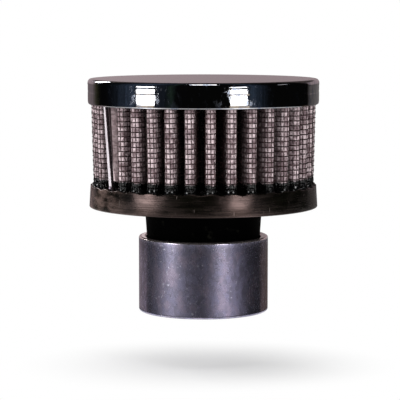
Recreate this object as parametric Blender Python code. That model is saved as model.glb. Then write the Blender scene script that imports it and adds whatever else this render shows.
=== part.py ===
"""Crankcase breather filter: a pleated wire-gauze element between a chromed steel cap and a
moulded rubber base, whose neck plugs into a plain metal sleeve.

Metres, +Z up. The origin is the centre of the sleeve's lower end, on the filter's own axis.
Angles round the axis are counted from the front (-Y), positive towards the right (+X).
"""

import math

import bmesh
import bpy
from mathutils import Vector

# Clearance between two pieces that seat on or in each other
FIT_GAP = 0.0003

# Facets round every turned piece
SEGMENTS = 48

# Metal sleeve
SLEEVE_LENGTH = 0.0248
SLEEVE_WALL = 0.00235
SLEEVE_CHAMFER = 0.0004

# Neck of the rubber base: its bore sets the sleeve's size through the neck's wall
NECK_BORE_RADIUS = 0.0158
NECK_WALL = 0.0029
NECK_PLUG_DEPTH = 0.0165
NECK_STANDOFF = 0.0098
NECK_FLARE = 0.0006
NECK_LEAD_IN = 0.0010
NECK_ROOT_FILLET = 0.0006
NECK_MOUTH_ROUND = 0.0015

# Flange of the rubber base, a tray that holds the foot of the pleats
BASE_HEIGHT = 0.0074
BASE_RECESS_DEPTH = 0.0035
BASE_LIP_WALL = 0.00055
BASE_DRAFT = 0.0004
BASE_LAND_DROP = 0.0010
BASE_EDGE_ROUND = 0.0003

# Pleated pack: a sheet of screen, gauze and screen, folded and bent round
FOLDS = 35
FOLD_WIDTH = 0.0034
FOLD_DEPTH = 0.0101
PACK_FOOT_RADIUS = 0.03625
PACK_FLARE = 0.0007
PACK_HEIGHT = 0.03285
SCREEN_THICKNESS = 0.0003
GAUZE_THICKNESS = 0.0004
PLY_GAP = 0.00025

# Lie of the folds: evenly spaced at their roots, and drawn a little aside at their tips
FIRST_ROOT_ANGLE = math.radians(-78.3)
TIP_SWAY = math.radians(1.5)
TIP_SWAY_ZERO = math.radians(17.4)
TIP_SPREAD = math.radians(0.6)

# Seam, where the two ends of the folded sheet meet in one open fold
SEAM_FOLD = 2
SEAM_TIP_FOOT_ANGLE = math.radians(-54.8)
SEAM_TIP_TOP_ANGLE = math.radians(-59.3)
SEAM_PUSH = math.radians(-1.8)
BARE_FLANK_START = 0.0010

# Strip that closes the seam, a T in section
STRIP_WIDTH = 0.0014
STRIP_THICKNESS = 0.0006
STRIP_CHAMFER = 0.0002
STRIP_WEB_WIDTH = 0.0008
STRIP_WEB_DEPTH = 0.0040

# Wires of the outer screen that stand proud on the fold tips
WIRE_ROWS = 7
WIRE_RISE = 0.00028
WIRE_HALF_WIDTH = 0.00045
CROWN_HALF_ARC = math.radians(30)

# Cast top seal
SEAL_THICKNESS = 0.0037
SEAL_BOSS_DROP = 0.0013
SEAL_BOSS_TAPER = 0.0004

# Pressed steel end cap
CAP_SHEET = 0.0006
CAP_SKIRT_GAP = 0.00045
CAP_SKIRT_DEPTH = 0.0083
CAP_CORNER_ROUND = 0.0015
CAP_HEM_RADIUS = 0.0007
CAP_HEM_LIP = 0.00015

# Places that follow from the sizes above
NECK_RADIUS = NECK_BORE_RADIUS + NECK_WALL
SLEEVE_BORE_RADIUS = NECK_RADIUS + FIT_GAP
SLEEVE_RADIUS = SLEEVE_BORE_RADIUS + SLEEVE_WALL
NECK_END = SLEEVE_LENGTH - NECK_PLUG_DEPTH

BASE_BOTTOM = SLEEVE_LENGTH + NECK_STANDOFF
BASE_TOP = BASE_BOTTOM + BASE_HEIGHT
RECESS_FLOOR = BASE_TOP - BASE_RECESS_DEPTH
LAND_TOP = BASE_TOP - BASE_LAND_DROP

PACK_FOOT = RECESS_FLOOR + FIT_GAP
PACK_TOP = PACK_FOOT + PACK_HEIGHT
PACK_TOP_RADIUS = PACK_FOOT_RADIUS + PACK_FLARE
ROOT_RADIUS = PACK_FOOT_RADIUS - FOLD_DEPTH
FOLD_PITCH = 2 * math.pi / FOLDS
ROOT_HALF_GAP = (2 * math.pi * ROOT_RADIUS / FOLDS - FOLD_WIDTH) / 2

GAUZE_DEPTH = SCREEN_THICKNESS + PLY_GAP
INNER_SCREEN_DEPTH = GAUZE_DEPTH + GAUZE_THICKNESS + PLY_GAP
SHEET_THICKNESS = INNER_SCREEN_DEPTH + SCREEN_THICKNESS
PACK_BORE_RADIUS = ROOT_RADIUS - ROOT_HALF_GAP - SHEET_THICKNESS
UNDER_STRIP = STRIP_THICKNESS + FIT_GAP

LAND_RADIUS = PACK_BORE_RADIUS - FIT_GAP
RECESS_RADIUS = PACK_FOOT_RADIUS + PACK_FLARE * BASE_RECESS_DEPTH / PACK_HEIGHT + FIT_GAP
BASE_TOP_RADIUS = RECESS_RADIUS + BASE_LIP_WALL
BASE_BOTTOM_RADIUS = BASE_TOP_RADIUS + BASE_DRAFT

CAP_BORE_RADIUS = PACK_TOP_RADIUS + CAP_SKIRT_GAP
CAP_RADIUS = CAP_BORE_RADIUS + CAP_SHEET
CAP_INNER_ROUND = CAP_CORNER_ROUND - CAP_SHEET
SEAL_BOTTOM = PACK_TOP + FIT_GAP
SEAL_TOP = SEAL_BOTTOM + SEAL_THICKNESS
SEAL_RADIUS = CAP_BORE_RADIUS - FIT_GAP
SEAL_ROUND = CAP_INNER_ROUND - FIT_GAP
CAP_CEILING = SEAL_TOP + FIT_GAP
CAP_TOP = CAP_CEILING + CAP_SHEET
CAP_BOTTOM = CAP_TOP - CAP_SKIRT_DEPTH


def clear_scene():
    """Removes every object that the scene starts with."""
    for obj in list(bpy.data.objects):
        bpy.data.objects.remove(obj, do_unlink=True)


def make_material(name, colour, roughness, metallic=0.0):
    """One plain Principled material; colour is linear RGB."""
    material = bpy.data.materials.new(name)
    material.use_nodes = True
    shader = material.node_tree.nodes["Principled BSDF"]
    shader.inputs["Base Color"].default_value = (*colour, 1.0)
    shader.inputs["Roughness"].default_value = roughness
    shader.inputs["Metallic"].default_value = metallic
    material.diffuse_color = (*colour, 1.0)
    return material


def add_object(name, bm, material, parent, sharp_angle):
    """Turns a finished bmesh into a named object with outward faces and smooth shading."""
    bmesh.ops.recalc_face_normals(bm, faces=bm.faces)
    mesh = bpy.data.meshes.new(name)
    bm.to_mesh(mesh)
    bm.free()
    mesh.shade_smooth()
    mesh.set_sharp_from_angle(angle=sharp_angle)
    mesh.materials.append(material)
    obj = bpy.data.objects.new(name, mesh)
    bpy.context.scene.collection.objects.link(obj)
    obj.parent = parent
    return obj


def arc(centre, radius, start, end, steps):
    """Points of an arc in the profile plane, both ends included; angles in degrees."""
    points = []
    for step in range(steps + 1):
        angle = math.radians(start + (end - start) * step / steps)
        points.append((centre[0] + radius * math.cos(angle), centre[1] + radius * math.sin(angle)))
    return points


def turned(name, profile, material, parent, closed=True):
    """Spins a profile of (radius, height) points round the axis.

    A closed profile makes a ring. An open one starts and ends on the axis and makes a disc.
    """
    bm = bmesh.new()
    verts = [bm.verts.new((radius, 0.0, height)) for radius, height in profile]
    edges = [bm.edges.new(pair) for pair in zip(verts, verts[1:])]
    if closed:
        edges.append(bm.edges.new((verts[-1], verts[0])))
    bmesh.ops.spin(
        bm,
        geom=verts + edges,
        cent=(0.0, 0.0, 0.0),
        axis=(0.0, 0.0, 1.0),
        angle=2 * math.pi,
        steps=SEGMENTS,
        use_duplicate=False,
    )
    bmesh.ops.remove_doubles(bm, verts=bm.verts, dist=1e-6)
    return add_object(name, bm, material, parent, math.radians(30))


def outward(angle):
    """Unit vector that points away from the axis at an angle counted from the front."""
    return Vector((math.sin(angle), -math.cos(angle), 0.0))


def root_angle(fold):
    return FIRST_ROOT_ANGLE + FOLD_PITCH * (fold % FOLDS)


def tip_angle(fold, level):
    """Where a fold's tip lies, at level 0 (foot of the pack) to 1 (top of the pack)."""
    if fold % FOLDS == SEAM_FOLD:
        return SEAM_TIP_FOOT_ANGLE + (SEAM_TIP_TOP_ANGLE - SEAM_TIP_FOOT_ANGLE) * level
    root = root_angle(fold)
    sway = TIP_SWAY * math.sin(3 * (root - TIP_SWAY_ZERO))
    spread = TIP_SPREAD * math.cos(2 * root)
    push = SEAM_PUSH if fold % FOLDS == SEAM_FOLD - 1 else 0.0
    return root + sway + spread + push


def fold_frame(fold, level):
    """Root point, centre of the tip's round, direction to the tip, and direction across."""
    root = ROOT_RADIUS * outward(root_angle(fold))
    tip_radius = PACK_FOOT_RADIUS + PACK_FLARE * level
    centre = (tip_radius - FOLD_WIDTH / 2) * outward(tip_angle(fold, level))
    along = (centre - root).normalized()
    across = Vector((-along.y, along.x, 0.0))
    return root, centre, along, across


def tip_points(fold, level, depth, angles):
    """Points of a ply's round at the tip, at the given angles from the fold's direction."""
    _, centre, along, across = fold_frame(fold, level)
    radius = FOLD_WIDTH / 2 - depth
    return [centre + radius * (math.cos(a) * along + math.sin(a) * across) for a in angles]


def leg_point(fold, level, depth, side, rise):
    """Point on a ply's leg: side is -1 or 1, and rise is its height above the fold's root."""
    root, _, along, across = fold_frame(fold, level)
    return root + side * (FOLD_WIDTH / 2 - depth) * across + rise * along


def end_point(level, depth, side, drop):
    """Where a ply ends at the seam, at a drop below the crest of the seam fold."""
    root, centre, _, _ = fold_frame(SEAM_FOLD, level)
    rise = (centre - root).length + FOLD_WIDTH / 2 - drop
    return leg_point(SEAM_FOLD, level, depth, side, rise)


def round_valley(fold, level, depth):
    """Between a fold and the next: foot of a leg, lowest point, foot of the next leg."""
    middle = root_angle(fold) + FOLD_PITCH / 2
    lowest = (ROOT_RADIUS - ROOT_HALF_GAP - depth) * outward(middle)
    return [
        leg_point(fold, level, depth, 1, 0.0),
        lowest,
        leg_point(fold + 1, level, depth, -1, 0.0),
    ]


def square_valley(fold, level, depth):
    """Between a fold and the next: the two corners of a flat-bottomed valley."""
    drop = -ROOT_HALF_GAP - depth
    return [
        leg_point(fold, level, depth, 1, drop),
        leg_point(fold + 1, level, depth, -1, drop),
    ]


def ply_outline(level, depth, tip_arc, valley, drop, bare_flank):
    """Outline of one face of a ply, from the seam fold's right leg round to its left leg.

    The ply's ends stop at the drop below the seam fold's crest. With a bare flank, its first
    end stops near the root instead, and leaves the next ply to show. The seam fold leans, so
    the valleys beside it have the same points in every ply, which keeps the plies parallel.
    """
    points = [] if bare_flank else [end_point(level, depth, 1, drop)]
    points.append(leg_point(SEAM_FOLD, level, depth, 1, BARE_FLANK_START))
    points += round_valley(SEAM_FOLD, level, depth)
    for fold in range(SEAM_FOLD + 1, SEAM_FOLD + FOLDS - 1):
        points += tip_points(fold, level, depth, tip_arc)
        points += valley(fold, level, depth)
    points += tip_points(SEAM_FOLD - 1, level, depth, tip_arc)
    points += round_valley(SEAM_FOLD - 1, level, depth)
    points.append(end_point(level, depth, -1, drop))
    return points


def chain(bm, foot, top, heights=(), rise=None):
    """Vertices up one upright line of the pack, from its foot to its top.

    Each of the heights is a share of the way up and the amount by which the line stands proud
    there, in the direction of rise.
    """
    verts = [bm.verts.new((foot.x, foot.y, PACK_FOOT))]
    for share, proud in heights:
        point = foot.lerp(top, share)
        if proud:
            point = point + proud * rise
        verts.append(bm.verts.new((point.x, point.y, PACK_FOOT + share * PACK_HEIGHT)))
    verts.append(bm.verts.new((top.x, top.y, PACK_TOP)))
    return verts


def stitch(bm, left, right):
    """Triangles between two upright chains, which may have different numbers of vertices.

    Every ply is cut along the same diagonals, so that plies stay parallel where a fold leans.
    """
    i = j = 0
    while i < len(left) - 1 or j < len(right) - 1:
        climb_left = j == len(right) - 1
        if i < len(left) - 1 and not climb_left:
            climb_left = left[i + 1].co.z < right[j + 1].co.z
        if climb_left:
            bm.faces.new((left[i], right[j], left[i + 1]))
            i += 1
        else:
            bm.faces.new((left[i], right[j], right[j + 1]))
            j += 1


def close_wall(bm, outer, inner):
    """Closes an open band: the two faces' chains, the rims between them and its two ends."""
    for face in (outer, inner):
        for left, right in zip(face, face[1:]):
            stitch(bm, left, right)
    for end in (0, -1):
        for a, b, c, d in zip(outer, outer[1:], inner[1:], inner):
            bm.faces.new((a[end], b[end], c[end], d[end]))
    for at in (0, -1):
        bm.faces.new((outer[at][0], outer[at][-1], inner[at][-1], inner[at][0]))


def plain_ply(name, depth, thickness, drop, material, parent):
    """One of the hidden plies, as a solid wall of the given thickness."""
    tip_arc = (-math.pi / 2, 0.0, math.pi / 2)
    bm = bmesh.new()
    faces = []
    for face_depth in (depth, depth + thickness):
        foot = ply_outline(0.0, face_depth, tip_arc, square_valley, drop, False)
        top = ply_outline(1.0, face_depth, tip_arc, square_valley, drop, False)
        faces.append([chain(bm, low, high) for low, high in zip(foot, top)])
    close_wall(bm, *faces)
    return add_object(name, bm, material, parent, math.radians(50))


def wire_heights():
    """Where the wires cross a fold's tip: heights on its shoulders and on its crown.

    They share the wall that shows between the base's lip and the cap's hem.
    """
    low = (BASE_TOP - PACK_FOOT) / PACK_HEIGHT
    high = (CAP_BOTTOM - PACK_FOOT) / PACK_HEIGHT
    half_width = WIRE_HALF_WIDTH / PACK_HEIGHT
    shoulder = []
    crown = []
    for row in range(WIRE_ROWS):
        share = low + (high - low) * (row + 0.5) / WIRE_ROWS
        shoulder.append((share, 0.0))
        crown += [(share - half_width, 0.0), (share, WIRE_RISE), (share + half_width, 0.0)]
    return shoulder, crown


def make_outer_screen(material, parent):
    """Outer wire screen: the folded wall with a row of wires standing proud on each tip."""
    quarter = math.pi / 2
    tip_arc = (-quarter, -CROWN_HALF_ARC, 0.0, CROWN_HALF_ARC, quarter)
    shoulder, crown = wire_heights()
    line_heights = {1: shoulder, 2: crown, 3: shoulder}
    valley_count = len(round_valley(0, 0.0, 0.0))
    period = valley_count + len(tip_arc)
    bm = bmesh.new()
    faces = []
    for depth in (0.0, SCREEN_THICKNESS):
        outlines = [
            ply_outline(level, depth, tip_arc, round_valley, UNDER_STRIP, True)
            for level in (0.0, 1.0)
        ]
        chains = []
        for index, (foot, top) in enumerate(zip(*outlines)):
            place = (index - 1) % period - valley_count
            fold = SEAM_FOLD + 1 + (index - 1) // period
            heights = line_heights.get(place, ()) if depth == 0.0 else ()
            if index == len(outlines[0]) - 1:
                heights = ()
            chains.append(chain(bm, foot, top, heights, fold_frame(fold, 0.5)[2]))
        faces.append(chains)
    close_wall(bm, *faces)
    return add_object("outer_screen", bm, material, parent, math.radians(50))


def make_filter_gauze(material, parent):
    """Filter gauze: the middle ply, whose two ends stand up under the seam strip."""
    return plain_ply(
        "filter_gauze", GAUZE_DEPTH, GAUZE_THICKNESS, UNDER_STRIP, material, parent
    )


def make_inner_screen(material, parent):
    """Inner wire screen, whose two ends stop below the web of the seam strip."""
    drop = UNDER_STRIP + STRIP_WEB_DEPTH
    return plain_ply(
        "inner_screen", INNER_SCREEN_DEPTH, SCREEN_THICKNESS, drop, material, parent
    )


def make_seam_strip(material, parent):
    """Strip over the sheet's two ends: a T whose web goes down between them."""
    half = STRIP_WIDTH / 2
    web = STRIP_WEB_WIDTH / 2
    bevel = STRIP_CHAMFER
    under = -STRIP_THICKNESS
    foot = under - STRIP_WEB_DEPTH
    right_side = [(half - bevel, 0.0), (half, -bevel), (half, under), (web, under), (web, foot)]
    section = right_side + [(-across, along) for across, along in reversed(right_side)]
    bm = bmesh.new()
    rings = []
    for level, height in ((0.0, PACK_FOOT), (1.0, PACK_TOP)):
        _, centre, along, across = fold_frame(SEAM_FOLD, level)
        crest = centre + FOLD_WIDTH / 2 * along
        points = [crest + x * across + y * along for x, y in section]
        rings.append([bm.verts.new((point.x, point.y, height)) for point in points])
    low, high = rings
    for a, b, c, d in zip(low, low[1:] + low[:1], high[1:] + high[:1], high):
        bm.faces.new((a, b, c, d))
    bm.faces.new(low)
    bm.faces.new(high)
    return add_object("seam_strip", bm, material, parent, math.radians(30))


def make_sleeve(material, parent):
    """Plain metal tube with broken edges at both ends."""
    c = SLEEVE_CHAMFER
    profile = [
        (SLEEVE_BORE_RADIUS + c, 0.0),
        (SLEEVE_RADIUS - c, 0.0),
        (SLEEVE_RADIUS, c),
        (SLEEVE_RADIUS, SLEEVE_LENGTH - c),
        (SLEEVE_RADIUS - c, SLEEVE_LENGTH),
        (SLEEVE_BORE_RADIUS + c, SLEEVE_LENGTH),
        (SLEEVE_BORE_RADIUS, SLEEVE_LENGTH - c),
        (SLEEVE_BORE_RADIUS, c),
    ]
    return turned("sleeve", profile, material, parent)


def make_rubber_base(material, parent):
    """Rubber moulding: the neck that plugs into the sleeve, and the tray for the pleats."""
    root = NECK_RADIUS + NECK_FLARE
    profile = [
        (NECK_BORE_RADIUS, NECK_END),
        (NECK_RADIUS - NECK_LEAD_IN, NECK_END),
        (NECK_RADIUS, NECK_END + NECK_LEAD_IN),
        (NECK_RADIUS, SLEEVE_LENGTH),
    ]
    fillet = (root + NECK_ROOT_FILLET, BASE_BOTTOM - NECK_ROOT_FILLET)
    profile += arc(fillet, NECK_ROOT_FILLET, 180, 90, 2)
    profile += [
        (BASE_BOTTOM_RADIUS - BASE_EDGE_ROUND, BASE_BOTTOM),
        (BASE_BOTTOM_RADIUS, BASE_BOTTOM + BASE_EDGE_ROUND),
        (BASE_TOP_RADIUS, BASE_TOP),
        (RECESS_RADIUS, BASE_TOP),
        (RECESS_RADIUS, RECESS_FLOOR),
        (LAND_RADIUS, RECESS_FLOOR),
        (LAND_RADIUS, LAND_TOP - BASE_EDGE_ROUND),
        (LAND_RADIUS - BASE_EDGE_ROUND, LAND_TOP),
    ]
    mouth = (NECK_BORE_RADIUS + NECK_MOUTH_ROUND, LAND_TOP - NECK_MOUTH_ROUND)
    profile += arc(mouth, NECK_MOUTH_ROUND, 90, 180, 2)
    return turned("rubber_base", profile, material, parent)


def make_top_seal(material, parent):
    """Cast disc that closes the top of the pleats and fills the cap's corner."""
    corner = (SEAL_RADIUS - SEAL_ROUND, SEAL_TOP - SEAL_ROUND)
    boss_bottom = SEAL_BOTTOM - SEAL_BOSS_DROP
    profile = [(0.0, SEAL_TOP)]
    profile += arc(corner, SEAL_ROUND, 90, 0, 2)
    profile += [
        (SEAL_RADIUS, SEAL_BOTTOM),
        (LAND_RADIUS, SEAL_BOTTOM),
        (LAND_RADIUS - SEAL_BOSS_TAPER, boss_bottom),
        (0.0, boss_bottom),
    ]
    return turned("top_seal", profile, material, parent, closed=False)


def make_end_cap(material, parent):
    """Pressed steel cap: flat top, rounded corner, and a skirt with its edge turned in."""
    corner = (CAP_RADIUS - CAP_CORNER_ROUND, CAP_TOP - CAP_CORNER_ROUND)
    hem = (CAP_RADIUS - CAP_HEM_RADIUS, CAP_BOTTOM + CAP_HEM_RADIUS)
    hem_edge = CAP_BORE_RADIUS - CAP_HEM_LIP
    profile = [(0.0, CAP_TOP)]
    profile += arc(corner, CAP_CORNER_ROUND, 90, 0, 3)
    profile += arc(hem, CAP_HEM_RADIUS, 0, -90, 2)
    profile += [
        (hem_edge, CAP_BOTTOM + CAP_HEM_LIP),
        (hem_edge, CAP_BOTTOM + CAP_HEM_RADIUS),
        (CAP_BORE_RADIUS, CAP_BOTTOM + CAP_HEM_RADIUS + CAP_HEM_LIP),
    ]
    profile += arc(corner, CAP_INNER_ROUND, 0, 90, 2)
    profile.append((0.0, CAP_CEILING))
    return turned("end_cap", profile, material, parent, closed=False)


def main():
    clear_scene()
    axis = bpy.data.objects.new("filter_axis", None)
    bpy.context.scene.collection.objects.link(axis)

    aluminium = make_material("satin aluminium", (0.42, 0.43, 0.46), 0.38, 1.0)
    rubber = make_material("black rubber", (0.012, 0.012, 0.013), 0.45)
    outer_wire = make_material("dark coated wire", (0.30, 0.26, 0.27), 0.5, 0.3)
    gauze = make_material("filter gauze", (0.55, 0.46, 0.47), 0.9)
    inner_wire = make_material("galvanised wire", (0.45, 0.45, 0.46), 0.45, 0.8)
    strip = make_material("seam strip", (0.75, 0.70, 0.72), 0.3, 0.6)
    urethane = make_material("cast urethane", (0.02, 0.02, 0.022), 0.6)
    chrome = make_material("chromed steel", (0.55, 0.56, 0.57), 0.06, 1.0)

    make_sleeve(aluminium, axis)
    make_rubber_base(rubber, axis)
    make_outer_screen(outer_wire, axis)
    make_filter_gauze(gauze, axis)
    make_inner_screen(inner_wire, axis)
    make_seam_strip(strip, axis)
    make_top_seal(urethane, axis)
    make_end_cap(chrome, axis)


main()
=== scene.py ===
"""Looks of a crankcase breather filter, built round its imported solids.

A chromed end cap, a pleated pack of woven wire over gauze with a seam strip, a moulded rubber
base and a satin aluminium sleeve stand in a white studio. Everything is in metres, +Z up, in the
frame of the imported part: -Y is the front, and angles round the axis are counted from the front,
positive towards the right.
"""

import logging
import math
from dataclasses import dataclass
from enum import Enum
from functools import cached_property

import bmesh
import bpy
import numpy as np
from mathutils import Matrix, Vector


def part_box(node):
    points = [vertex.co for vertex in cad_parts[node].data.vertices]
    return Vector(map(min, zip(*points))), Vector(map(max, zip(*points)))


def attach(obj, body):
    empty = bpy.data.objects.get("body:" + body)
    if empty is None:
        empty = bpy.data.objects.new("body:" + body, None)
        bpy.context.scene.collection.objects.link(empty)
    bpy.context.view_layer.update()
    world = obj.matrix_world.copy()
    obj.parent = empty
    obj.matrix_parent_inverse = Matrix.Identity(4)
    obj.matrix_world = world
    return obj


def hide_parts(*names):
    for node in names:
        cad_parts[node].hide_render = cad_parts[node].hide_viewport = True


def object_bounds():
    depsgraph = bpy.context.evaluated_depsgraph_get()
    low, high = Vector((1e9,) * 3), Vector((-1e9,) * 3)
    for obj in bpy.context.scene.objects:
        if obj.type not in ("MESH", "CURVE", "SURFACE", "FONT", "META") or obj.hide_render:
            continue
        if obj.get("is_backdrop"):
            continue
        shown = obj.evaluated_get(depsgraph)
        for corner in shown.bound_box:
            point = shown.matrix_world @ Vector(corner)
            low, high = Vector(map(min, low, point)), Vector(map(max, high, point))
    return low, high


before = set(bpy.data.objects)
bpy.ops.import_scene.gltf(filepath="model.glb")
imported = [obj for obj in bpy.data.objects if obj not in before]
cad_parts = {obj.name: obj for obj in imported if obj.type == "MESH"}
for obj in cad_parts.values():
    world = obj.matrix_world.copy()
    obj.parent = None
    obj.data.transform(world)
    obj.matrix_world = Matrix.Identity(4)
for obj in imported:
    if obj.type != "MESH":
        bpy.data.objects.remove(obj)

LOG = logging.getLogger("breather_filter")
MM = 0.001
BODY = "root"

# Height to which the cast rubber has crept up the pleats, how far that line wanders, its blur
SOAK_LINE = 44.7 * MM
SOAK_WANDER = 2.2 * MM
SOAK_BLUR = 0.25 * MM

# Settings that a kind of node has where a call gives no other
USUAL = {
    "MapRange": {"interpolation_type": "SMOOTHSTEP"},
    "Math": {"operation": "MULTIPLY"},
    "Mix": {"data_type": "RGBA"},
}

Array = np.ndarray
Socket = bpy.types.NodeSocket
Material = bpy.types.Material
Pair = tuple[float, float]
Triple = tuple[float, float, float]


class Slot(Enum):
    """Material slots of the part's record."""

    SLEEVE = "sleeve_aluminium"
    RUBBER = "base_rubber"
    WIRE = "screen_wire"
    GAUZE = "gauze"
    STRIP = "strip_metal"
    SEAL = "seal_urethane"
    CHROME = "cap_chrome"


class Edge(Enum):
    """Angle above which an edge of a piece is drawn sharp."""

    SOFT = math.radians(60)
    CRISP = math.radians(35)


def linear(code: str) -> tuple[float, float, float, float]:
    """Turns an sRGB hex colour into linear RGBA.

    Args:
        code: The colour as "#rrggbb".

    Returns:
        The four linear channels.
    """
    shares = [int(code[at : at + 2], 16) / 255 for at in (1, 3, 5)]
    red, green, blue = (s / 12.92 if s <= 0.04045 else ((s + 0.055) / 1.055) ** 2.4 for s in shares)
    return red, green, blue, 1.0


class Finish:
    """A material or world in the making. Each kind feeds its nodes in paint."""

    name: str
    store: str = "materials"

    @cached_property
    def holder(self) -> Material | bpy.types.World:
        """The new material or world, made at its first use.

        Returns:
            It, with its nodes switched on.
        """
        holder = getattr(bpy.data, self.store).new(self.name)
        holder.use_nodes = True
        return holder

    def make(self) -> Material | bpy.types.World:
        """Makes and paints it.

        Returns:
            The finished material or world.
        """
        self.paint()
        return self.holder

    def feed(self, node: bpy.types.Node | str, inputs: dict[int | str, object]) -> None:
        """Links or sets inputs of a node. None leaves an input as it is.

        Args:
            node: The node, or the name of one that a new material has.
            inputs: Socket, hex colour or number for each input, by number or name.
        """
        tree = self.holder.node_tree
        node = tree.nodes[node] if isinstance(node, str) else node
        for key, value in inputs.items():
            if isinstance(value, Socket):
                tree.links.new(value, node.inputs[key])
            elif value is not None:
                node.inputs[key].default_value = linear(value) if isinstance(value, str) else value

    def add(self, kind: str, *values: object, out: str | None = None, **settings: object) -> Socket:
        """Adds one node with its settings, input values and links.

        Args:
            kind: The node's type name after "ShaderNode".
            *values: What feed takes, for the inputs in use, in order.
            out: Name of the output, if it isn't the first in use.
            **settings: The node's own properties.

        Returns:
            The node's output.
        """
        node = self.holder.node_tree.nodes.new(f"ShaderNode{kind}")
        for key, setting in {**USUAL.get(kind, {}), **settings}.items():
            setattr(node, key, setting)
        used = [at for at, socket in enumerate(node.inputs) if socket.enabled]
        self.feed(node, dict(zip(used, values)))
        return node.outputs[out] if out else next(s for s in node.outputs if s.enabled)

    def along(self, kind: str, axis: str) -> Socket:
        """One axis of a texture coordinate, such as the Z of "Normal"."""
        return self.add("SeparateXYZ", self.add("TexCoord", out=kind), out=axis)

    def grains(
        self,
        size: float,
        span: Pair | None = None,
        stretch: Triple = (1.0, 1.0, 1.0),
        detail: float = 3.0,
    ) -> Socket:
        """Noise of a real grain size on the piece's own coordinates.

        Args:
            size: Size of the largest grain, in metres.
            span: Noise that becomes 0 and 1. Without it the noise stays as it is.
            stretch: Grain length along each axis, as a share of size.
            detail: Octaves of finer grain.

        Returns:
            The pattern, 0 to 1.
        """
        scale = tuple(1 / (size * share) for share in stretch)
        place = self.add("Mapping", self.add("TexCoord", out="Object"), None, None, scale)
        noise = self.add("TexNoise", place, 1.0, detail)
        return self.add("MapRange", noise, *span) if span else noise

    def waves(self, turn: float, how: str) -> Socket:
        """Joins the sizes of a sine along each way of the map "weave".

        Args:
            turn: Radians for each window of the wire cloth.
            how: Operation that joins the two ways.

        Returns:
            The pattern.
        """
        way = self.add("UVMap", uv_map="weave")
        way = self.add("VectorMath", way, (turn, turn, 0.0), operation="MULTIPLY")
        for operation in ("SINE", "ABSOLUTE"):
            way = self.add("VectorMath", way, operation=operation)
        return self.add(
            "Math", *(self.add("SeparateXYZ", way, out=axis) for axis in "XY"), operation=how
        )

    def soak_mask(self) -> Socket:
        """Where the cast rubber has crept up the pleats: 1 below a wandering line, 0 above it.

        Returns:
            The mask.
        """
        wander = self.grains(1.1 * MM, stretch=(1.0, 1.0, 2.5))
        height = self.along("Object", "Z")
        line = self.add("Math", wander, SOAK_WANDER, height, operation="MULTIPLY_ADD")
        middle = SOAK_LINE + SOAK_WANDER / 2
        return self.add("MapRange", line, middle + SOAK_BLUR, middle - SOAK_BLUR)

    def seen(self) -> Socket:
        """1 for rays of the camera, of gloss and of glass, which see the white background.

        Returns:
            The mask.
        """
        kinds = ("Camera", "Glossy", "Transmission")
        rays = [self.add("LightPath", out=f"Is {kind} Ray") for kind in kinds]
        both = self.add("Math", *rays[:2], operation="MAXIMUM")
        return self.add("Math", both, rays[2], operation="MAXIMUM")

    def coats(self, colour: str | Socket, *layers: tuple[Socket, str | Socket]) -> Socket:
        """Lays colours over one another.

        Args:
            colour: The lowest colour.
            *layers: Mask and colour of each layer above it.

        Returns:
            The mixed colour.
        """
        for mask, over in layers:
            colour = self.add("Mix", mask, colour, over)
        return colour

    def feed_shader(self, inputs: dict[str, object], *reliefs: tuple) -> None:
        """Feeds the material's Principled shader, its reliefs stacked on one another.

        Args:
            inputs: What feed takes, by the names of the shader's inputs.
            *reliefs: Height, strength and depth in metres of each relief, the lowest first.
        """
        normal = None
        for height, strength, depth in reliefs:
            normal = self.add("Bump", strength, depth, None, height, normal)
        self.feed("Principled BSDF", {"Normal": normal, **inputs})


@dataclass(frozen=True)
class ChromePlate(Finish):
    """Polished chrome plate on pressed steel.

    It gives the eye near-black metal with hard white reflections, a little haze and dust.
    """

    name: str = "polished chrome plate"
    plate: str = "#bdbcbe"
    haze: str = "#8f97a8"
    roughness: Pair = (0.03, 0.2)
    top_roughness: float = 0.12
    pit: float = 0.9 * MM
    wave: float = 2.0 * MM
    cloud: float = 1.5 * MM
    relief: float = 0.02 * MM

    def paint(self) -> None:
        """Slight waves in the skirt break up the edges of reflections. The flat top is hazier."""
        cloud = self.grains(self.cloud, (0.44, 0.72), (1.0, 1.0, 2.5), 5.0)
        pits = self.grains(self.pit, (0.66, 0.74), detail=2.0)
        both = self.add("Math", cloud, pits, operation="MAXIMUM")
        up = self.along("Normal", "Z")
        hazy = self.add("Math", both, self.add("MapRange", up, 0.9, 0.995, 1.0, 0.3))
        flat = self.add("MapRange", up, 0.97, 0.995)
        rough = self.add("MapRange", both, 0.0, 1.0, *self.roughness)
        wavy = self.add("MapRange", up, 0.5, 0.95, 1.0, 0.05)
        self.feed_shader(
            {
                "Base Color": self.coats(self.plate, (hazy, self.haze)),
                "Roughness": self.add("Mix", flat, rough, self.top_roughness, data_type="FLOAT"),
                "Metallic": 1.0,
            },
            (self.grains(self.wave), wavy, self.relief),
            (pits, 0.25, self.relief),
        )


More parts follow.
